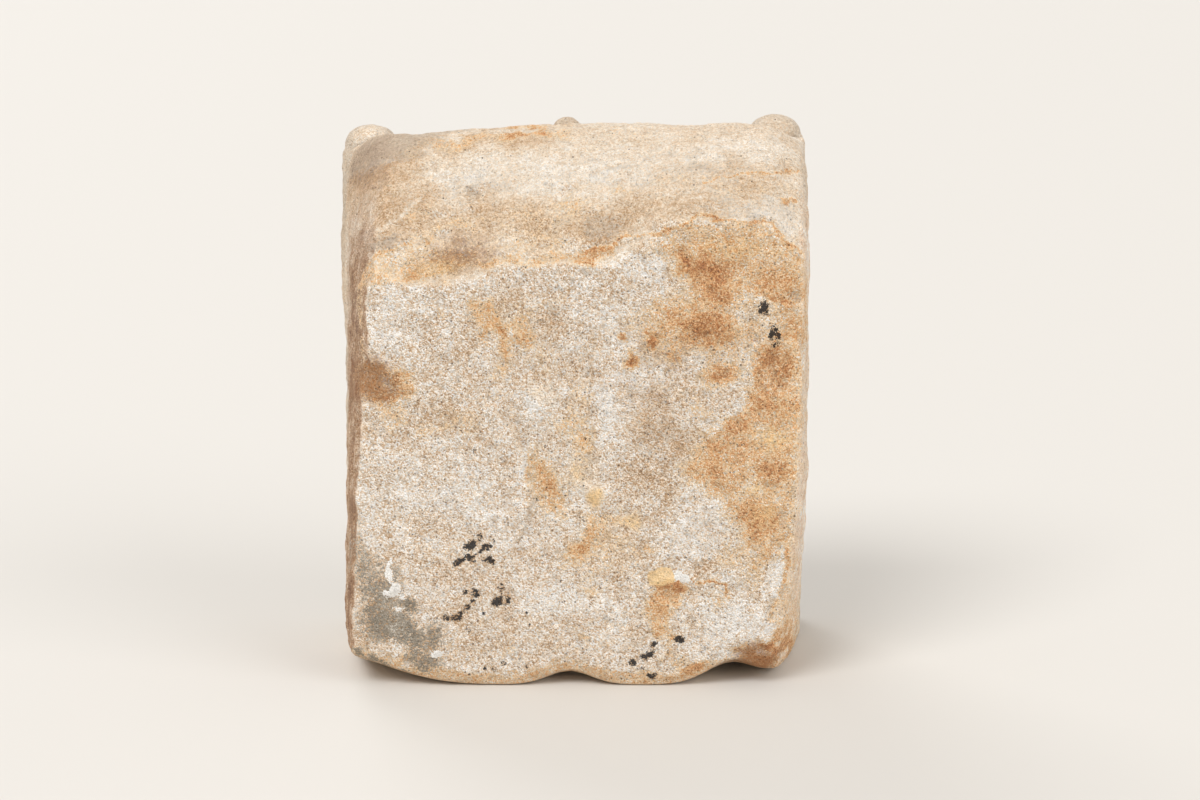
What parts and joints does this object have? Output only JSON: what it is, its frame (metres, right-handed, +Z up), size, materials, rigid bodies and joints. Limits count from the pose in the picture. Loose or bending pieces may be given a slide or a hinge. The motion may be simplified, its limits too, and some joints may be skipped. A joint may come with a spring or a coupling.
{
  "type": "stone niche",
  "caption": "Small lamp niche carved in one rough block of banded sandstone, with an arched recess between corner shafts and a split back.",
  "frame": {"origin": "middle of the underside, at the centre of the base of the bounding box", "axes": "+Z up, the carved front faces -Y, the split back faces +Y, +X is to the right when the front is looked at"},
  "size_m": [0.2458, 0.13, 0.28],
  "materials": {
    "sandstone": "split and weathered sandstone, pale cream with iron-brown bands and stains"
  },
  "bodies": {
    "root": {"stone_niche": "sandstone"}
  },
  "joints": []
}
